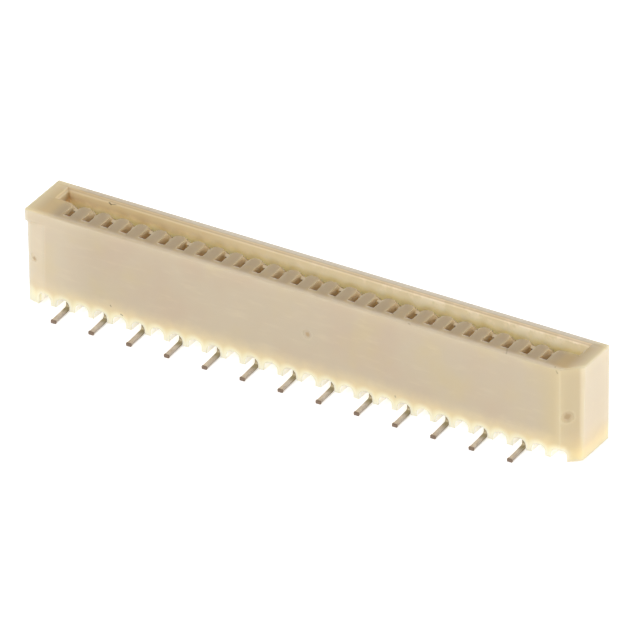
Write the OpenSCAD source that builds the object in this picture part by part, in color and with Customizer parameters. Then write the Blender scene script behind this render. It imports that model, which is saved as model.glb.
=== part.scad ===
// Upright connector for a flat flexible cable: one moulded housing with a cable
// slot, and a row of blanked spring contacts whose tails leave front and rear by turns.
// Millimetres. X runs along the row, -Y is the front, Z = 0 is the board.

/* [Row] */
// Number of contacts
contact_count = 26; // [8:2:40]
// Spacing of neighbouring contacts
pitch = 1.0; // [0.95:0.01:1.25]
// Middle of the last contact to the end face
end_margin = 2.0; // [1.9:0.05:2.6]

/* [Housing] */
// Thickness from front to rear
housing_depth = 3.0; // [2.9:0.05:3.5]
// Height of the top above the board
housing_top = 5.05; // [4.9:0.05:6]
// Underside of the end feet above the board
foot_gap = 0.15; // [0.1:0.01:0.25]
// Underside of the comb teeth above the board
comb_gap = 0.3; // [0.25:0.01:0.35]
// Width of the channels between the comb teeth
channel_w = 0.7; // [0.66:0.02:0.78]
// Height of the channels between the comb teeth
channel_h = 0.5; // [0.4:0.05:0.55]
// Radius of the channel's upper corners
channel_r = 0.3; // [0.1:0.01:0.32]
// Lean of each end face from top to bottom
end_draft = 0.1; // [0.02:0.01:0.15]
// Rounding of the outer edges at the top
edge_r = 0.1; // [0.04:0.01:0.15]
// Rounding of the upright edges
upright_r = 0.16; // [0.05:0.01:0.2]

/* [Corners] */
// Width along the row of the cut front corner by the last contact
key_x = 0.88; // [0.6:0.02:1]
// Depth of the cut front corner by the last contact
key_y = 0.8; // [0.5:0.02:0.9]
// Width along the row of the relief in the other front corner
relief_x = 1.04; // [0.8:0.02:1.2]
// Depth of the relief in the other front corner
relief_y = 0.26; // [0.15:0.01:0.3]
// Height of the ledge left above the relief
ledge_h = 0.6; // [0.45:0.05:0.9]
// Rise of the ledge's underside for each unit of depth
ledge_slope = 0.8; // [0.3:0.05:1]

/* [Cable slot] */
// Wall behind the slot
rear_wall = 0.48; // [0.44:0.01:0.54]
// Opening of the slot
slot_w = 0.5; // [0.45:0.01:0.55]
// Depth of the slot below the top
slot_depth = 3.6; // [3.4:0.05:3.65]
// Play of the cable along the row
cable_play = 0.3; // [0.1:0.05:0.4]
// Run of the front slope that guides the cable into the slot
lead_run = 0.56; // [0.3:0.01:0.6]
// Bevel of the rear and the ends of the slot's mouth
lead_bevel = 0.13; // [0.05:0.01:0.18]
// Rounding of the slot's upright corners
slot_r = 0.15; // [0.05:0.01:0.2]

/* [Contact cavities] */
// Wall in front of and behind the contacts
cavity_wall = 0.4; // [0.34:0.01:0.44]
// Rounding of each rib's nose at the front slope
nose_r = 0.3; // [0.1:0.01:0.31]

/* [Contacts] */
// Thickness of the contact sheet
sheet_t = 0.2; // [0.15:0.01:0.25]
// Play between a contact and each side of its cavity
side_play = 0.1; // [0.05:0.01:0.12]
// Play between a contact's base and the walls, filled by the barbs
base_play = 0.04; // [0.02:0.01:0.06]
// Play between a contact's base and the channels' ceiling
ceiling_play = 0.07; // [0.03:0.01:0.1]
// Height of the base bar
base_h = 0.5; // [0.35:0.01:0.5]
// Height of the barbs on the base's ends
barb_h = 0.24; // [0.1:0.01:0.25]
// Width of the beam at its root
beam_root_t = 0.32; // [0.24:0.01:0.36]
// Width of the beam at its tip
beam_tip_t = 0.15; // [0.12:0.01:0.2]
// Beam's root behind the base's front end
beam_root_y = 0.72; // [0.5:0.01:0.8]
// Depth of the beam's bend towards the slot below the top
bend_depth = 2.5; // [2.3:0.05:2.7]
// Lean of the beam from its root to its bend
bend_y = 0.24; // [0.1:0.01:0.3]
// Radius of the beam's bend
bend_r = 0.8; // [0.4:0.05:1]
// Depth of the contact point below the top
point_depth = 1.3; // [1.1:0.05:1.6]
// Room left between the contact point and the slot's rear wall
point_gap = 0.18; // [0.12:0.01:0.25]
// Radius of the beam round the contact point
point_r = 0.22; // [0.15:0.01:0.3]
// Depth of the beam's tip below the top
tip_depth = 0.14; // [0.1:0.01:0.4]
// Tip's distance in front of the slot
tip_back = 0.78; // [0.6:0.01:0.85]
// Extra depth of the tips of the contacts with rear tails
tip_step = 0.12; // [0:0.01:0.3]

/* [Tails] */
// Reach of the tails from the middle plane
tail_reach = 2.36; // [2.25:0.01:2.85]
// Width of the tail strip in side view
tail_t = 0.15; // [0.12:0.01:0.2]
// Drop of the tail from its heel to its tip
tail_drop = 0.08; // [0.03:0.01:0.2]
// Radius of the heel's inner side
heel_r = 0.13; // [0.05:0.01:0.2]
// Length of the wider cut end
stub_l = 0.13; // [0.08:0.01:0.2]
// Widening of the cut end on each side
stub_w = 0.025; // [0.01:0.005:0.04]

/* [Moulding marks] */
// Diameter of the mark in the relief
relief_mark_d = 0.42; // [0.2:0.02:0.5]
// Distance of the mark in the relief from its end face
relief_mark_x = 0.4; // [0.35:0.01:0.5]
// Diameter of the mark on the cut corner
key_mark_d = 0.6; // [0.3:0.05:0.6]
// Distance of the mark on the cut corner from that face's front edge
key_mark_x = 0.36; // [0.34:0.01:0.5]
// Height of the marks by the ends above the board
end_mark_z = 2.5; // [1.5:0.05:3.5]
// Diameter of the mark near the middle
middle_mark_d = 0.46; // [0.3:0.02:0.8]
// Height of the mark near the middle above the board
middle_mark_z = 2.9; // [1.5:0.05:3.5]
// Distance of the mark near the middle from the middle of the row
middle_mark_x = 0.45; // [-2:0.05:2]
// Depth of the marks
mark_depth = 0.03; // [0.01:0.01:0.06]

/* [Hidden] */
function contact_name(i) = str("contact_", i < 10 ? "0" : "", i);
arc_steps = 6;
circle_steps = 48;
spare = 1; // how far a cutter runs past what it cuts

row_half = (contact_count - 1) * pitch / 2;
length_half = row_half + end_margin;
front_y = -housing_depth / 2;
rear_y = housing_depth / 2;

comb_top = comb_gap + channel_h;
foot_x = row_half + pitch + channel_w / 2;

slot_rear_y = rear_y - rear_wall;
slot_front_y = slot_rear_y - slot_w;
slot_floor = housing_top - slot_depth;
slot_half = row_half + pitch + cable_play / 2;
mouth_front_y = slot_front_y - lead_run;
mouth_rear_y = slot_rear_y + lead_bevel;
mouth_half = slot_half + lead_bevel;

cavity_w = sheet_t + 2 * side_play;
nose_lap = 0.03; // how far the rounded noses run on inside the cavities
nose_x = cavity_w / 2 - nose_lap;
cavity_front_y = front_y + cavity_wall;
cavity_rear_y = rear_y - cavity_wall;

base_w = sheet_t + 2 * base_play;
base_front_y = cavity_front_y + base_play;
base_rear_y = cavity_rear_y - base_play;
base_bottom = comb_top + ceiling_play;
base_top = base_bottom + base_h;

function select(list, wanted) = [for (i = wanted) list[i]];
function reversed(list) = [for (i = [len(list) - 1 : -1 : 0]) list[i]];
function unit(v) = v / norm(v);
function turned(v, a) = [v.x * cos(a) - v.y * sin(a), v.x * sin(a) + v.y * cos(a)];

// Points of the arc of radius r that rounds the corner b between a and c
function corner(a, b, c, r) =
    let (
        u = unit(a - b),
        v = unit(c - b),
        half = acos(u * v) / 2,
        centre = b + unit(u + v) * r / sin(half),
        start = b + u * r / tan(half) - centre,
        turn = (180 - 2 * half) * sign(cross(v, u))
    )
    [for (i = [0 : arc_steps]) centre + turned(start, turn * i / arc_steps)];

// A closed outline of [x, y, radius] corners, each rounded by its radius
function rounded(points) =
    let (n = len(points), flat = [for (p = points) [p.x, p.y]])
    [for (i = [0 : n - 1])
        each points[i].z > 0
            ? corner(flat[(i + n - 1) % n], flat[i], flat[(i + 1) % n], points[i].z)
            : [flat[i]]];

// An open path of [x, y, radius] points, with its inner corners rounded
function rounded_path(points) =
    let (n = len(points), flat = [for (p = points) [p.x, p.y]])
    concat(
        [flat[0]],
        [for (i = [1 : n - 2]) each corner(flat[i - 1], flat[i], flat[i + 1], points[i].z)],
        [flat[n - 1]]
    );

function run_to(path, i) = i == 0 ? 0 : run_to(path, i - 1) + norm(path[i] - path[i - 1]);
function heading(path, i) = unit(path[min(i + 1, len(path) - 1)] - path[max(i - 1, 0)]);
function beside(path, i, d) = path[i] + d * [-heading(path, i).y, heading(path, i).x];

// Outline of a strip along a path, from width t0 at its start to t1 at its end
function strip(path, t0, t1) =
    let (last = len(path) - 1, whole = run_to(path, last))
    let (half = [for (i = [0 : last]) (t0 + (t1 - t0) * run_to(path, i) / whole) / 2])
    concat(
        [for (i = [0 : last]) beside(path, i, half[i])],
        [for (i = [last : -1 : 0]) beside(path, i, -half[i])]
    );

// A [y, z] profile drawn out along X about the YZ plane
module along_x(w) {
    rotate([90, 0, 90])
        linear_extrude(w, center = true)
            children();
}

// An [x, z] profile drawn out along Y about the XZ plane
module along_y(w) {
    rotate([90, 0, 0])
        linear_extrude(w, center = true)
            children();
}

function contact_x(i) = (i - 1) * pitch - row_half;

// Plan of the housing, with its keyed corner
plan_outline = rounded([
    [-length_half, front_y, edge_r],
    [length_half - key_x, front_y, edge_r],
    [length_half, front_y + key_y, edge_r],
    [length_half, rear_y, upright_r],
    [-length_half, rear_y, upright_r]
]);

// Section across the row
end_outline = rounded([
    [front_y, foot_gap, 0],
    [rear_y, foot_gap, 0],
    [rear_y, housing_top, edge_r],
    [front_y, housing_top, edge_r]
]);

// One channel of the comb, from its left foot over its arch to its right foot
function channel(x) = [
    [x - channel_w / 2, comb_gap, 0],
    [x - channel_w / 2, comb_top, channel_r],
    [x + channel_w / 2, comb_top, channel_r],
    [x + channel_w / 2, comb_gap, 0]
];

// Front view of the housing: end feet, comb of teeth and leaning ends
front_outline = rounded(concat(
    [
        [length_half, housing_top, edge_r],
        [-length_half, housing_top, edge_r],
        [-length_half + end_draft, foot_gap, 0],
        [-foot_x, foot_gap, 0]
    ],
    [for (i = [0 : contact_count + 1]) each
        i == 0 ? select(channel(contact_x(i)), [1, 2, 3])
        : i == contact_count + 1 ? select(channel(contact_x(i)), [0, 1, 2])
        : channel(contact_x(i))],
    [
        [foot_x, foot_gap, 0],
        [length_half - end_draft, foot_gap, 0]
    ]
));

module housing_blank() {
    intersection() {
        linear_extrude(housing_top)
            polygon(plan_outline);
        along_x(2 * (length_half + spare))
            polygon(end_outline);
        along_y(housing_depth + 2 * spare)
            polygon(front_outline);
    }
}

// Plan of the slot with the contact cavities open into it
function cavity_plan(x) = [
    [x - cavity_w / 2, slot_front_y, 0],
    [x - cavity_w / 2, cavity_front_y, 0],
    [x + cavity_w / 2, cavity_front_y, 0],
    [x + cavity_w / 2, slot_front_y, 0]
];
slot_plan = rounded(concat(
    [
        [slot_half, slot_rear_y, slot_r],
        [-slot_half, slot_rear_y, slot_r],
        [-slot_half, slot_front_y, 0]
    ],
    [for (i = [1 : contact_count]) each cavity_plan(contact_x(i))],
    [[slot_half, slot_front_y, 0]]
));

// Mouth of the slot: a slope in front and a bevel behind and at both ends
module mouth_cutter() {
    bevel_z = housing_top - lead_bevel;
    slope_z = housing_top - lead_run;
    intersection() {
        along_x(2 * (mouth_half + spare))
            polygon([
                [slot_front_y, slope_z],
                [slot_rear_y, slope_z],
                [slot_rear_y, bevel_z],
                [mouth_rear_y, housing_top],
                [mouth_rear_y, housing_top + spare],
                [mouth_front_y, housing_top + spare],
                [mouth_front_y, housing_top]
            ]);
        along_y(2 * housing_depth)
            polygon([
                [slot_half, slope_z - spare],
                [slot_half, bevel_z],
                [mouth_half, housing_top],
                [mouth_half, housing_top + spare],
                [-mouth_half, housing_top + spare],
                [-mouth_half, housing_top],
                [-slot_half, bevel_z],
                [-slot_half, slope_z - spare]
            ]);
    }
}

// Rounded noses of the ribs, cut by a comb that runs along the slope of the mouth
module nose_cutter() {
    lean = 45; // the slope drops as far as it runs
    comb_run = lead_run / cos(lean) + 2 * nose_r;
    comb_clear = 0.02; // keeps the comb's faces off the slope
    comb_back = 0.06;
    comb_reach = -2 * nose_r;
    side = row_half + pitch / 2;
    translate([0, mouth_front_y, housing_top])
        rotate([lean, 0, 0])
            translate([0, 0, -comb_run])
                linear_extrude(comb_run + spare)
                    polygon(rounded(concat(
                        [
                            [side, comb_clear + comb_back, 0],
                            [-side, comb_clear + comb_back, 0],
                            [-side, comb_clear, 0]
                        ],
                        [for (i = [1 : contact_count]) each [
                            [contact_x(i) - nose_x, comb_clear, nose_r],
                            [contact_x(i) - nose_x, comb_reach, 0],
                            [contact_x(i) + nose_x, comb_reach, 0],
                            [contact_x(i) + nose_x, comb_clear, nose_r]
                        ]],
                        [[side, comb_clear, 0]]
                    )));
}

module slot_cutter() {
    translate([0, 0, slot_floor])
        linear_extrude(slot_depth + spare)
            polygon(slot_plan);
    mouth_cutter();
    nose_cutter();
}

// Lower part of each cavity, open to the underside for the contact to be pushed in
module base_cutter() {
    for (i = [1 : contact_count])
        translate([contact_x(i) - base_w / 2, cavity_front_y, 0])
            cube([base_w, cavity_rear_y - cavity_front_y, slot_floor + base_play]);
}

// Relief under the ledge in the front corner by the first contact
module relief_cutter() {
    shoulder = housing_top - ledge_h;
    intersection() {
        linear_extrude(housing_top)
            polygon([
                [-length_half + relief_x, front_y],
                [-length_half, front_y + relief_y],
                [-length_half - spare, front_y + relief_y],
                [-length_half - spare, front_y - spare],
                [-length_half + relief_x, front_y - spare]
            ]);
        along_x(4 * length_half)
            polygon([
                [front_y - spare, 0],
                [0, 0],
                [0, shoulder + front_y * ledge_slope],
                [front_y - spare, shoulder + spare * ledge_slope]
            ]);
    }
}

// One shallow round mark on an upright face through a point, turned by an angle about Z
module mark(point, angle, d) {
    translate(point)
        rotate([90, 0, angle])
            translate([0, 0, -mark_depth])
                cylinder(h = spare, d = d, $fn = circle_steps);
}

// Marks left by the mould on the front, the relief and the cut corner
module mark_cutters() {
    key_angle = atan2(key_y, key_x);
    relief_angle = atan2(relief_y, relief_x);
    mark([middle_mark_x, front_y, middle_mark_z], 0, middle_mark_d);
    mark(
        [
            -length_half + relief_mark_x,
            front_y + relief_y - relief_mark_x * tan(relief_angle),
            end_mark_z
        ],
        -relief_angle,
        relief_mark_d
    );
    mark(
        [
            length_half - key_x + key_mark_x * cos(key_angle),
            front_y + key_mark_x * sin(key_angle),
            end_mark_z
        ],
        key_angle,
        key_mark_d
    );
}

module housing() {
    color("wheat")
        difference() {
            housing_blank();
            slot_cutter();
            base_cutter();
            relief_cutter();
            mark_cutters();
        }
}

// One end of the base bar at depth y, from its bottom up: a barb that grips the wall
// at depth wall, with its square side down and its sloping side up
function base_end(y, wall) =
    let (barb_top = base_top - barb_h / 2, barb_bottom = barb_top - barb_h)
    [
        [y, base_bottom],
        [y, barb_bottom],
        [wall, barb_bottom],
        [wall, barb_top - barb_h / 2],
        [y, barb_top],
        [y, base_top]
    ];
base_outline = concat(
    base_end(base_rear_y, cavity_rear_y),
    reversed(base_end(base_front_y, cavity_front_y))
);

// Spring beam: root, bend, contact point and guiding tip
point_y = slot_rear_y - point_gap - beam_tip_t;
beam_y = base_front_y + beam_root_y;
beam_point = [point_y, housing_top - point_depth];
beam_tip = [slot_front_y - tip_back, housing_top - tip_depth];
function beam_path(step) =
    let (tip = beam_tip - (beam_tip - beam_point) * step / (point_depth - tip_depth))
    rounded_path([
        [beam_y, base_top - base_h / 2, 0],
        [beam_y + bend_y, housing_top - bend_depth, bend_r],
        [beam_point.x, beam_point.y, point_r],
        [tip.x, tip.y, 0]
    ]);

// Tail: from the base down to the heel and out to the tip, on the front side
tail_slope = atan2(tail_drop, tail_reach + base_front_y + tail_t / 2);
tail_tip = [-tail_reach, tail_t / 2 * cos(tail_slope)];
tail_path = rounded_path([
    [base_front_y + tail_t / 2, base_bottom + tail_t, 0],
    [base_front_y + tail_t / 2, tail_tip.y + tail_drop, heel_r + tail_t / 2],
    [tail_tip.x, tail_tip.y, 0]
]);
stub_path = [tail_tip - stub_l * heading(tail_path, len(tail_path) - 1), tail_tip];

// One blanked contact; side is -1 for a tail at the front and 1 for one at the rear
module contact(side) {
    color("silver") {
        along_x(sheet_t) {
            polygon(base_outline);
            polygon(strip(beam_path(side > 0 ? tip_step : 0), beam_root_t, beam_tip_t));
            scale([-side, 1])
                polygon(strip(tail_path, tail_t, tail_t));
        }
        along_x(sheet_t + 2 * stub_w)
            scale([-side, 1])
                polygon(strip(stub_path, tail_t, tail_t));
    }
}

housing();
for (i = [1 : contact_count])
    translate([contact_x(i), 0, 0])
            contact(i % 2 == 1 ? -1 : 1);
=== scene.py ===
import math

import bpy
from mathutils import Matrix, Vector


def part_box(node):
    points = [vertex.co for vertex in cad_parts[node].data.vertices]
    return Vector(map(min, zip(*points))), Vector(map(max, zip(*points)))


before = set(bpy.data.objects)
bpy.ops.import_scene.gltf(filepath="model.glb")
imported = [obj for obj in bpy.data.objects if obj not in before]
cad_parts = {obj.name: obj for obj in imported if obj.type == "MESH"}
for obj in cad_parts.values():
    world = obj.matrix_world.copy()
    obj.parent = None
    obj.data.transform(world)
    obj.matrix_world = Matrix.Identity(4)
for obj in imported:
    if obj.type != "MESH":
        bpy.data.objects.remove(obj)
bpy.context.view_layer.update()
mm = 0.001
white = (1.0, 1.0, 1.0, 1.0)
print("frame loaded:", len(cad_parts), "solids")


class Value:  # a node's output, with arithmetic that adds Math nodes
    def __init__(self, shade, socket):
        self.shade = shade
        self.socket = socket

    def maths(self, operation, other=0.0):
        return self.shade.add("ShaderNodeMath", {"operation": operation}, {0: self, 1: other})

    def atLeast(self, other):
        return self.maths("MAXIMUM", other)

    def __add__(self, other):
        return self.maths("ADD", other)

    def __sub__(self, other):
        return self.maths("SUBTRACT", other)

    def __rsub__(self, other):
        return self * -1 + other

    def __mul__(self, other):
        return self.maths("MULTIPLY", other)

    def __abs__(self):
        return self.maths("ABSOLUTE")

    __radd__ = __add__
    __rmul__ = __mul__


class Shade:  # a material or world being wired up
    def __init__(self, owner, last="ShaderNodeOutputMaterial"):
        self.owner = owner
        owner.use_nodes = True
        self.tree = owner.node_tree
        self.tree.nodes.clear()
        self.output = self.tree.nodes.new(last)

    def add(self, kind, settings=None, sockets=None, output=0):
        node = self.tree.nodes.new(kind)
        for name, value in (settings or {}).items():
            setattr(node, name, value)
        for name, value in (sockets or {}).items():
            if isinstance(value, Value):
                self.tree.links.new(value.socket, node.inputs[name])
            else:
                node.inputs[name].default_value = value
        return Value(self, node.outputs[output])

    def finishWith(self, shader):
        self.tree.links.new(shader.socket, self.output.inputs["Surface"])
        return self.owner

    def places(self):  # object coordinates in millimetres
        coords = self.add("ShaderNodeTexCoord", output="Object")
        return self.vectors("SCALE", coords, scale=1 / mm)

    def vectors(self, operation, first, second=None, scale=None, output=0):
        sockets = {0: first}
        if second is not None:
            sockets[1] = second
        if scale is not None:
            sockets["Scale"] = scale
        return self.add("ShaderNodeVectorMath", {"operation": operation}, sockets, output)

    def part(self, vector, axis):
        return self.add("ShaderNodeSeparateXYZ", sockets={0: vector}, output=axis)

    def noise(self, place, facts, stretch=None):
        if stretch is not None:
            place = self.vectors("MULTIPLY", place, stretch)
        scale, detail, rough, seed = facts
        sockets = {"Vector": place, "W": seed, "Scale": scale, "Detail": detail, "Roughness": rough}
        return self.add("ShaderNodeTexNoise", {"noise_dimensions": "4D"}, sockets)

    def ease(self, value, low, high, start=0.0, end=1.0):
        sockets = {"Value": value, "From Min": low, "From Max": high, "To Min": start, "To Max": end}
        return self.add("ShaderNodeMapRange", {"interpolation_type": "SMOOTHSTEP"}, sockets)

    def mix(self, factor, first, second):
        settings = {"data_type": "RGBA", "clamp_factor": True}
        return self.add("ShaderNodeMix", settings, {0: factor, 6: first, 7: second}, output=2)

    def fromLine(self, place, start, end):  # distance to a short line, in millimetres
        start, end = Vector(start), Vector(end)
        along = end - start
        offset = self.vectors("SUBTRACT", place, start)
        share = self.vectors("DOT_PRODUCT", offset, along / along.length_squared, output="Value")
        share = self.add("ShaderNodeClamp", sockets={"Value": share})
        foot = self.vectors("SCALE", along[:], scale=share)
        return self.vectors("DISTANCE", offset, foot, output="Value")


def srgb(red, green, blue):  # screen colour of 0 to 255 into the renderer's
    levels = (level / 255 for level in (red, green, blue))
    return (*(l / 12.92 if l < 0.04045 else ((l + 0.055) / 1.055) ** 2.4 for l in levels), 1.0)


# camera
cameraLook = {
    "azimuth": 31.14,  # degrees, round from the front towards the cut corner
    "elevation": 30.79,
    "roll": -0.41,
    "distance": 903.0,  # mm
    "lens": 1125.0,  # mm
    "sensor": 36.0,  # mm
    "aimAcross": 0.17,  # mm, what the lens points at, seen from the aim point
    "aimUp": 2.31,
    "aimPoint": (0.0, 0.0, 0.05),
    "nearest": 0.05,  # m, what is drawn
    "farthest": 5.0,
}


def makeCamera(look):
    azimuth, elevation, roll = (math.radians(look[k]) for k in ("azimuth", "elevation", "roll"))
    flat = math.cos(elevation)
    back = Vector((math.sin(azimuth) * flat, -math.cos(azimuth) * flat, math.sin(elevation)))
    level = Vector((math.cos(azimuth), math.sin(azimuth), 0.0))
    across = math.cos(roll) * level + math.sin(roll) * back.cross(level)
    upward = back.cross(across)
    spot = Vector(look["aimPoint"]) + across * look["aimAcross"] + upward * look["aimUp"]
    data = bpy.data.cameras.new("camera")
    data.lens = look["lens"]
    data.sensor_width = look["sensor"]
    data.clip_start = look["nearest"]
    data.clip_end = look["farthest"]
    camera = bpy.data.objects.new("camera", data)
    bpy.context.scene.collection.objects.link(camera)
    turn = Matrix((across, upward, back)).transposed().to_4x4()
    camera.matrix_world = Matrix.Translation((spot + back * look["distance"]) * mm) @ turn
    bpy.context.scene.camera = camera


makeCamera(cameraLook)
print("camera set")

# light and floor
studio = {
    "ambient": 0.5,  # strength of the light from all sides
    "floorColour": srgb(250, 250, 250),
    "floorLift": 0.5,  # glow that only the camera sees, so that the floor stays white
    "floorSize": 3.0,  # m
    "floorDrop": 0.01,  # mm
    "lamps": [  # azimuth and elevation in degrees, distance and width in m, watts
        ("frontLamp", -13.0, 29.0, 0.8, 0.4, 2.9),
        ("endLamp", 124.0, 18.0, 0.8, 0.5, 3.5),
        ("lowLamp", 36.0, 6.0, 0.8, 0.3, 0.9),
    ],
}


def makeWorld(look):
    world = bpy.data.worlds.new("studio")
    bpy.context.scene.world = world
    shade = Shade(world, "ShaderNodeOutputWorld")
    seen = shade.add("ShaderNodeLightPath", output="Is Camera Ray")
    mirrored = shade.add("ShaderNodeLightPath", output="Is Glossy Ray")
    ambient = shade.add("ShaderNodeBackground", sockets={"Color": white, "Strength": look["ambient"]})
    backdrop = shade.add("ShaderNodeBackground", sockets={"Color": white, "Strength": 1.0})
    chosen = {0: seen.atLeast(mirrored), 1: ambient, 2: backdrop}
    shade.finishWith(shade.add("ShaderNodeMixShader", sockets=chosen))


def makeLamp(name, azimuth, elevation, distance, width, watts):
    data = bpy.data.lights.new(name, "AREA")
    data.shape = "DISK"
    data.size = width
    data.energy = watts
    lamp = bpy.data.objects.new(name, data)
    bpy.context.scene.collection.objects.link(lamp)
    around, above = math.radians(azimuth), math.radians(elevation)
    flat = math.cos(above)
    away = Vector((math.sin(around) * flat, -math.cos(around) * flat, math.sin(above)))
    lamp.location = away * distance
    lamp.rotation_mode = "QUATERNION"
    lamp.rotation_quaternion = away.to_track_quat("Z", "Y")
    lamp.visible_camera = False


def makeFloor(look):
    half = look["floorSize"] / 2
    corners = [(-half, -half, 0), (half, -half, 0), (half, half, 0), (-half, half, 0)]
    mesh = bpy.data.meshes.new("floor")
    mesh.from_pydata(corners, [], [(0, 1, 2, 3)])
    floor = bpy.data.objects.new("floor", mesh)
    bpy.context.scene.collection.objects.link(floor)
    floor.location.z = -look["floorDrop"] * mm
    shade = Shade(bpy.data.materials.new("floorCard"))
    matt = shade.add("ShaderNodeBsdfDiffuse", sockets={"Color": look["floorColour"]})
    seen = shade.add("ShaderNodeLightPath", output="Is Camera Ray") * look["floorLift"]
    glow = shade.add("ShaderNodeEmission", sockets={"Color": white, "Strength": seen})
    mesh.materials.append(shade.finishWith(shade.add("ShaderNodeAddShader", sockets={0: matt, 1: glow})))


makeWorld(studio)
makeFloor(studio)
for lampFacts in studio["lamps"]:
    makeLamp(*lampFacts)
print("studio set")

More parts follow.
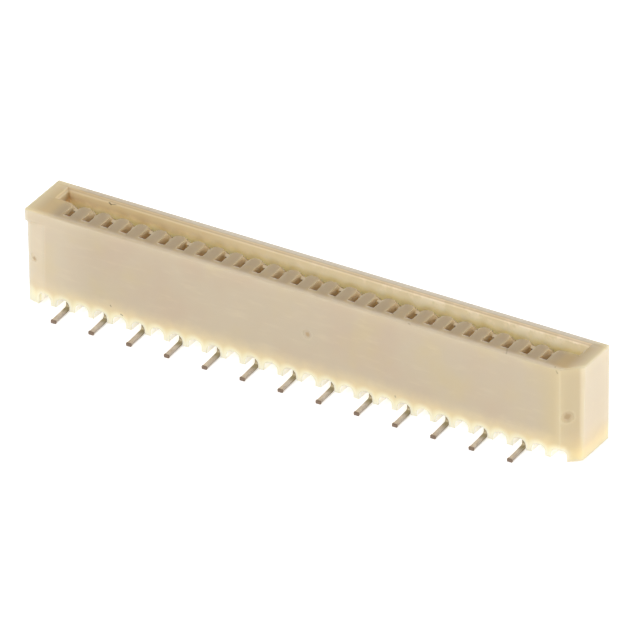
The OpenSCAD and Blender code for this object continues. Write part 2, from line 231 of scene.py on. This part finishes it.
# housing
ivory = {
    "body": srgb(201, 186, 162),
    "pink": srgb(199, 179, 156),
    "straw": srgb(205, 188, 148),
    "rims": srgb(198, 188, 172),  # outer rims of the top face
    "ribs": srgb(171, 150, 117),  # ribs, painted shade on their tops
    "honey": srgb(188, 162, 112),  # round the ends of the slot
    "noses": srgb(152, 130, 92),  # painted shade inside the slot, on the rounded noses of the ribs
    "shaded": srgb(207, 186, 144),  # slot's rear wall at the left end
    "wall": srgb(244, 226, 198),  # painted light on the same wall from the middle on
    # painted light on the slot's walls further down
    "foot": srgb(255, 226, 184),
    "wallHighlight": srgb(255, 232, 206),  # painted highlight in pale patches on the rear wall
    "cavity": srgb(190, 166, 130),  # painted shade in the contact cavities at the top
    "sunken": srgb(240, 216, 180),  # and painted light further down
    "inner": srgb(255, 248, 230),  # painted light inside the comb's notches, also their painted glow
    "low": srgb(246, 224, 174),  # painted light towards the comb, where light comes through
    "thin": srgb(255, 243, 208),  # painted light at the rims of the comb's notches; also pale flow streaks and rings round marks
    # painted light near the ends and on the cut corner
    "ends": srgb(236, 222, 197),
    "mark": srgb(180, 150, 109),
    "dirt": srgb(84, 68, 42),
    "unlit": (0.0, 0.0, 0.0, 1.0),
    "glow": 0.25,  # painted glow for light that the floor sends up through the comb
    "through": 0.85,  # share of light that wanders inside the plastic
    "wander": 1.1,  # mm
    "wanderByColour": (1.0, 0.93, 0.82),
    "refraction": 1.5,
    "roughness": 0.46,
    "grainRoughness": 0.12,
    "edgePolish": 0.08,
    "dirtRoughness": 0.2,
    "grainHeight": 0.006,  # mm
    "grainStrength": 0.5,
    "edgeRound": 0.05,  # mm
    "edgeSamples": 6,
    "edgeTurn": (0.995, 0.85),  # cosine between flat and rounded surface, polish none and full
    "slotRear": 1.02,  # mm, rear wall of the slot
    "slotHalf": 13.75,  # mm, half its length
    "cavityHalf": 0.2,  # mm
    "notchTop": 0.8,  # mm
    "ridgeBack": 0.12,  # mm, painted shade line behind the slot
    "rimShare": 0.9,
    "strawReach": 0.6,  # mm, from the slot's ends inwards
    "strawShare": 0.8,
    "litFull": 1.0,  # mm along the row
    "litLeast": 0.1,
    "unevenness": 0.5,  # mm, how far tones run up and down
    "markEdge": 0.8,  # unevenness of a round mark, in its radius
    "markCore": 0.3,
    "markShare": 0.75,
    "ringAt": 1.5,  # pale ring round a mark, in its radius
    "ringWidth": 0.4,
    "ringShare": 0.08,
    "speckEdge": 1.6,  # unevenness of a speck, in its width
    "speckCore": 0.3,
    "flowStretch": (0.35, 1.0, 1.6),
    "noises": {  # spots per mm, detail, roughness, seed
        "cloud": (1 / 3.5, 2.0, 0.5, 2.0),
        "haze": (1.6 / 3.5, 2.0, 0.5, 7.0),
        "flow": (2.2, 3.0, 0.55, 4.0),
        "blotch": (1.7, 3.0, 0.6, 6.0),
        "wobble": (9.0, 2.0, 0.6, 9.0),
        "grain": (9.0, 4.0, 0.65, 1.0),
    },
    "shares": {  # noise level where a tone begins and is full, and its share there
        "pink": (0.45, 0.7, 0.6),
        "straw": (0.5, 0.75, 0.55),
        "flow": (0.5, 0.8, 0.1),
        "honey": (0.5, 0.7, 0.3),
        "wallHighlight": (0.46, 0.6, 1.0),
    },
    "bands": {  # where a tone begins and is full, in mm from its edge, then its least and most
        "top": (-0.14, -0.02, 0.0, 1.0),
        "tanFront": (-0.1, 0.35, 0.0, 1.0),
        "tanRear": (-0.3, -0.8, 0.0, 1.0),
        "tanEnds": (-0.1, -0.9, 0.0, 1.0),
        "honeyEnds": (-1.0, -0.2, 0.0, 0.8),
        "ribSides": (0.16, 0.0, 0.0, 0.35),
        "rearRidge": (0.09, 0.02, 0.0, 0.5),  # painted shade lines along the top
        "frontRidge": (0.1, 0.02, 0.0, 0.55),
        "dullRims": (-4.0, -12.0, 0.0, 0.3),
        "lightTopEnd": (-12.6, -13.6, 0.0, 0.2),
        "yellowCorner": (12.0, 13.6, 0.0, 0.8),
        "yellowFront": (-0.6, -0.8, 0.0, 1.0),
        "lip": (-0.06, 0.0, 0.0, 1.0),  # keeps the slot's tones off the top face
        "slotSides": (-0.3, -0.34, 0.0, 1.0),
        "slotEnds": (0.15, 0.08, 0.0, 1.0),
        "cavitySides": (0.06, 0.01, 0.0, 1.0),
        "cavityRear": (0.3, -0.2, 0.0, 1.0),
        "sunken": (-0.1, -0.6, 0.0, 1.0),
        "rearWall": (-0.06, -0.02, 0.0, 1.0),
        "endWalls": (-0.16, -0.12, 0.0, 1.0),
        "shallow": (-0.75, -0.4, 0.0, 1.0),
        "litDown": (-0.1, -0.5, 0.55, 1.0),
        "shadedEnd": (-11.0, -13.4, 0.0, 0.9),
        "wallHighlightAlong": (-6.0, 8.0, 0.0, 0.75),
        "bevel": (0.01, 0.05, 0.0, 0.65),
        "low": (1.8, 0.3, 0.0, 0.9),
        "thickCorner": (12.9, 13.5, 0.0, 0.5),  # where less light comes through
        "thickEnd": (14.4, 14.1, 0.3, 1.0),
        "halo": (0.75, 0.4, 0.0, 0.8),
        "haloEnd": (0.2, 0.0, 0.0, 1.0),
        "endFaces": (-0.3, -0.1, 0.0, 0.6),
        "cutCorner": (13.2, 13.7, 0.0, 0.15),
        "paleLeft": (-10.5, -13.0, 0.0, 0.28),
        "relief": (-13.3, -13.7, 0.0, 0.25),  # sunken end of the front
        "reliefTop": (4.5, 4.4, 0.0, 1.0),
        "endsFoot": (0.4, 1.6, 0.0, 1.0),
        "notchEnds": (-0.4, -0.3, 0.01, 0.32),  # mm of skin that stays out, least and most
        "notchSkin": (0.0, 0.04, 0.0, 1.0),
        "notchDeep": (0.1, 0.9, 0.2, 1.0),
        "notchRoof": (0.15, 0.08, 0.0, 1.0),
        "notchRow": (0.2, 0.12, 0.0, 1.0),
        "glow": (0.2, -0.4, 0.0, 0.22),
    },
    "specks": [  # from, to, width, strength; millimetres on the surface
        ((-11.5, 1.02, 4.93), (-11.42, 1.02, 4.88), 0.06, 0.85),
        ((-11.42, 1.02, 4.88), (-10.98, 1.02, 4.98), 0.035, 0.55),
        ((9.98, 0.02, 5.05), (10.35, -0.03, 5.05), 0.03, 0.4),
        ((10.6, -1.0, 5.05), (10.84, -1.46, 5.03), 0.06, 0.35),
        # a dark streak down from the top at the cut corner's front edge
        ((13.34, -1.42, 5.03), (13.5, -1.5, 4.8), 0.06, 0.35),
        ((-9.96, -1.5, 1.28), (-9.92, -1.5, 1.24), 0.05, 0.5),
        ((-9.4, -1.5, 0.98), (-9.32, -1.5, 0.94), 0.05, 0.55),
        ((5.74, -1.46, 5.04), (5.82, -1.48, 5.03), 0.05, 0.4),
        ((5.04, -1.5, 1.05), (5.06, -1.5, 1.0), 0.05, 0.4),
    ],
    "marks": [  # centre and radius of the mould's round marks
        ((0.45, -1.5, 2.88), 0.17),
        ((-14.1, -1.34, 2.42), 0.15),
        ((13.88, -1.26, 2.5), 0.24),
    ],
}


class HousingPaint:  # the moulded plastic, toned one zone after the other
    def __init__(self, look, lowest, highest, firstContact, pitch):
        self.look = look
        self.lowest = lowest
        self.highest = highest
        shade = self.shade = Shade(bpy.data.materials.new("mouldedIvory"))
        self.place = shade.places()
        self.along, self.across, self.high = (shade.part(self.place, axis) for axis in range(3))
        self.fromMiddle = abs(self.along)
        self.fromPlane = abs(self.across)
        contactTurn = (self.along - firstContact) * (1 / pitch) + 0.5
        self.toContact = abs(contactTurn.maths("FRACT") - 0.5) * pitch
        self.blotch = self.noise("blotch")
        self.uneven = self.high + (self.blotch - 0.5) * look["unevenness"]
        self.wobble = self.noise("wobble") - 0.5
        self.upper = self.band("top", self.high, highest.z)
        self.colour = self.mottled()

    def noise(self, name, stretch=None):
        return self.shade.noise(self.place, self.look["noises"][name], stretch)

    def share(self, name, noise):
        begins, full, most = self.look["shares"][name]
        return self.shade.ease(noise, begins, full, end=most)

    def band(self, name, value, edge=0.0):
        begins, full, least, most = self.look["bands"][name]
        return self.shade.ease(value, edge + begins, edge + full, least, most)

    def tint(self, share, tone):
        self.colour = self.shade.mix(share, self.colour, tone)

    def mottled(self):
        mix, look = self.shade.mix, self.look
        colour = mix(self.share("pink", self.noise("cloud")), look["body"], look["pink"])
        colour = mix(self.share("straw", self.noise("haze")), colour, look["straw"])
        flow = self.noise("flow", look["flowStretch"])
        colour = mix(self.share("flow", flow), colour, look["thin"])
        yellowed = self.band("yellowCorner", self.along) * self.band("yellowFront", self.across)
        return mix(yellowed, colour, look["straw"])

    def paintTop(self):
        mix, look = self.shade.mix, self.look
        honeyed = self.band("honeyEnds", self.fromMiddle, look["slotHalf"])
        tan = mix(honeyed + self.share("honey", self.blotch), look["ribs"], look["honey"])
        tan = mix(self.band("ribSides", self.toContact, look["cavityHalf"]), tan, look["honey"])

        # painted shade along the crease behind the slot and on the front edge
        fromRidge = abs(self.across - look["slotRear"] - look["ridgeBack"])
        ridgeShade = self.band("rearRidge", fromRidge)
        ridgeShade = ridgeShade + self.band("frontRidge", self.across, self.lowest.y)
        rims = mix(self.band("dullRims", self.along) + ridgeShade, look["rims"], look["ribs"])
        strawFrom = look["slotHalf"] - look["strawReach"]
        strawy = self.shade.ease(self.fromMiddle, strawFrom, self.highest.x, end=look["strawShare"])
        self.tint(self.upper * look["rimShare"], mix(strawy, rims, look["straw"]))

        # painted shade on the ribs' tops, between the rims
        ribShadeArea = self.upper * self.band("tanFront", self.across, self.lowest.y)
        ribShadeArea = ribShadeArea * self.band("tanRear", self.across, self.highest.y)
        ribShadeArea = ribShadeArea * self.band("tanEnds", self.fromMiddle, self.highest.x)
        self.tint(ribShadeArea, tan)
        # painted light on the top at the left end
        self.tint(self.upper * self.band("lightTopEnd", self.along), look["low"])

    def paintSlot(self):
        mix, look, top = self.shade.mix, self.look, self.highest.z
        inside = self.band("slotSides", self.fromPlane, self.highest.y)
        inside = inside * (1 - self.band("lip", self.high, top))
        inside = inside * self.band("slotEnds", self.fromMiddle, look["slotHalf"])
        # painted shade over everything inside the slot
        self.tint(inside, look["noses"])
        # painted shade at the top of the cavities, painted light further down
        inCavity = self.band("cavitySides", self.toContact, look["cavityHalf"])
        inCavity = inCavity * inside * self.band("cavityRear", self.across)
        sunk = self.band("sunken", self.high, top)
        self.tint(inCavity, mix(sunk, look["cavity"], look["sunken"]))

        # painted light on the slot's walls, painted shade at the left end, painted highlights in patches
        atWall = self.band("rearWall", self.across, look["slotRear"])
        atWall = atWall.atLeast(self.band("endWalls", self.fromMiddle, look["slotHalf"])) * inside
        self.tint(atWall, look["foot"])
        shallow = atWall * self.band("shallow", self.uneven, top)
        lit = self.shade.ease(self.along, self.lowest.x, look["litFull"], start=look["litLeast"])
        lit = lit * self.band("litDown", self.high, top)
        shaded = mix(self.band("shadedEnd", self.along), look["shaded"], look["honey"])
        self.tint(shallow, mix(lit, shaded, look["wall"]))
        patches = self.share("wallHighlight", self.blotch) * self.band("wallHighlightAlong", self.along)
        self.tint(shallow * patches, look["wallHighlight"])
        # painted shade on the bevel behind the slot
        self.tint(inside * self.band("bevel", self.across, look["slotRear"]), look["ribs"])

    def paintComb(self):  # gives the glow too
        shade, look, roof = self.shade, self.look, self.look["notchTop"]
        thick = 1 - self.band("thickCorner", self.along) * self.band("thickEnd", self.along)
        # painted light rising towards the comb
        self.tint(self.band("low", self.uneven) * thick, look["low"])
        # painted light round the tops of the comb's notches
        notch = shade.add("ShaderNodeCombineXYZ", sockets={0: self.toContact, 1: self.high - roof / 2})
        halo = self.band("halo", shade.vectors("LENGTH", notch, output="Value"))
        self.tint(halo * self.band("haloEnd", self.along, look["slotHalf"]), look["thin"])

        # painted light near the ends, on the cut corner and the sunken end of the front
        ends = self.band("endFaces", self.fromMiddle, self.highest.x)
        ends = ends.atLeast(self.band("cutCorner", self.along))
        ends = ends.atLeast(self.band("paleLeft", self.along))
        ends = ends + self.band("relief", self.along) * self.band("reliefTop", self.high)
        self.tint(ends * (1 - self.upper) * self.band("endsFoot", self.high), look["ends"])

        # painted light and painted glow inside the comb's notches
        skin = self.band("notchEnds", self.fromMiddle, look["slotHalf"])
        within = self.band("notchSkin", self.highest.y - self.fromPlane - skin)
        within = within * self.band("notchDeep", self.fromPlane)
        within = within * self.band("notchRoof", self.high, roof)
        within = within * self.band("notchRow", self.fromMiddle, look["slotHalf"])
        self.tint(within, look["inner"])
        glow = self.band("glow", self.high, roof) * thick
        return shade.mix(glow.atLeast(within), look["unlit"], look["inner"])

    def paintMarks(self):
        ease, look = self.shade.ease, self.look
        for centre, radius in look["marks"]:
            away = self.shade.vectors("DISTANCE", self.place, centre, output="Value")
            away = away + self.wobble * radius * look["markEdge"]
            fromRing = abs(away - radius * look["ringAt"])
            self.tint(ease(fromRing, radius * look["ringWidth"], 0.0, end=look["ringShare"]), look["thin"])
            core = radius * look["markCore"]
            self.tint(ease(away, radius, core, end=look["markShare"]), look["mark"])

    def paintDirt(self):  # gives the specks' mask too
        look, dirty = self.look, 0.0
        for start, end, width, strength in look["specks"]:
            away = self.shade.fromLine(self.place, start, end)
            away = away + self.wobble * width * look["speckEdge"]
            speck = self.shade.ease(away, width, width * look["speckCore"], end=strength)
            dirty = speck.atLeast(dirty)
        self.tint(dirty, look["dirt"])
        return dirty

    def material(self):
        shade, look = self.shade, self.look
        self.paintTop()
        self.paintSlot()
        glow = self.paintComb()
        self.paintMarks()
        dirty = self.paintDirt()
        grain = self.noise("grain")
        samples = {"samples": look["edgeSamples"]}
        eased = shade.add("ShaderNodeBevel", samples, {"Radius": look["edgeRound"] * mm})
        bumps = {
            "Height": grain,
            "Strength": look["grainStrength"],
            "Distance": look["grainHeight"] * mm,
            "Normal": eased,
        }
        flat = shade.add("ShaderNodeNewGeometry", output="Normal")
        turn = shade.vectors("DOT_PRODUCT", eased, flat, output="Value")
        rough = look["roughness"] + look["grainRoughness"] * (grain - 0.5)
        rough = rough - look["edgePolish"] * shade.ease(turn, *look["edgeTurn"])
        sockets = {
            "Base Color": self.colour,
            "Roughness": rough + look["dirtRoughness"] * dirty,
            "Normal": shade.add("ShaderNodeBump", sockets=bumps),
            "Subsurface Weight": look["through"],
            "Subsurface Radius": look["wanderByColour"],
            "Subsurface Scale": look["wander"] * mm,
            "Emission Color": glow,
            "Emission Strength": look["glow"],
            "IOR": look["refraction"],
        }
        return shade.finishWith(shade.add("ShaderNodeBsdfPrincipled", sockets=sockets))


def finishPiece(node, material):
    node.data.materials.clear()
    node.data.materials.append(material)


def middleX(name):
    return sum(corner.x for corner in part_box(name)) / 2 / mm


housingBox = [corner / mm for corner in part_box("housing")]
firstContact = middleX("contact_01")
contactPitch = middleX("contact_02") - firstContact
housingPaint = HousingPaint(ivory, *housingBox, firstContact, contactPitch)
finishPiece(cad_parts["housing"], housingPaint.material())
print("housing finished")

# contacts
tin = {
    "plate": srgb(199, 186, 174),
    "bright": srgb(219, 210, 200),
    "tips": srgb(190, 172, 142),  # beam tips, dulled
    # painted shade at the heel under the housing and along the sole
    "heel": srgb(146, 134, 98),
    "cut": srgb(126, 104, 86),
    "brightShare": 0.8,
    "heelShare": 0.85,
    "cutShare": 0.9,
    "metal": 0.55,
    "heelMetal": 0.2,  # less of it
    "cutMetal": 0.3,
    "roughness": 0.42,
    "scratchRoughness": 0.2,
    "cutRoughness": 0.15,
    "scratchHeight": 0.006,  # mm
    "scratchStrength": 0.5,
    "brightPatches": (0.4, 0.65),
    "tipsAbove": (3.5, 4.2),  # mm up
    "tailBelow": (0.95, 0.8),
    "heelWithin": (1.65, 1.25),  # mm from the middle plane
    "soleBelow": (0.16, 0.02),  # mm up
    "soleWithin": (1.85, 1.3),  # mm from the middle plane
    "cutBeyond": (2.24, 2.32),
    "patches": (3.0, 3.0, 0.6, 3.0),  # spots per mm, detail, roughness, seed
    "scratches": (16.0, 3.0, 0.6, 5.0),
    "scratchStretch": (0.08, 1.0, 1.0),
}


def makeTinPlate(look):
    shade = Shade(bpy.data.materials.new("dullTin"))
    place = shade.places()
    out = abs(shade.part(place, 1))
    high = shade.part(place, 2)
    patches = shade.noise(place, look["patches"])
    scratches = shade.noise(place, look["scratches"], look["scratchStretch"])
    bright = shade.ease(patches, *look["brightPatches"], end=look["brightShare"])
    colour = shade.mix(bright, look["plate"], look["bright"])
    colour = shade.mix(shade.ease(high, *look["tipsAbove"]), colour, look["tips"])
    # painted shade at the heel under the housing and along the sole
    heel = shade.ease(high, *look["tailBelow"]) * shade.ease(out, *look["heelWithin"])
    sole = shade.ease(high, *look["soleBelow"]) * shade.ease(out, *look["soleWithin"])
    heel = heel.atLeast(sole)
    colour = shade.mix(heel * look["heelShare"], colour, look["heel"])
    cut = shade.ease(out, *look["cutBeyond"])
    colour = shade.mix(cut * look["cutShare"], colour, look["cut"])
    bumps = {
        "Height": scratches,
        "Strength": look["scratchStrength"],
        "Distance": look["scratchHeight"] * mm,
    }
    rough = look["roughness"] + look["scratchRoughness"] * (scratches - 0.5)
    sockets = {
        "Base Color": colour,
        "Metallic": look["metal"] - look["cutMetal"] * cut - look["heelMetal"] * heel,
        "Roughness": rough + look["cutRoughness"] * cut,
        "Normal": shade.add("ShaderNodeBump", sockets=bumps),
    }
    return shade.finishWith(shade.add("ShaderNodeBsdfPrincipled", sockets=sockets))


contactTin = makeTinPlate(tin)
for name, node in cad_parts.items():
    if name.startswith("contact"):
        finishPiece(node, contactTin)
print("contacts finished")

bpy.context.scene.view_settings.view_transform = "Standard"
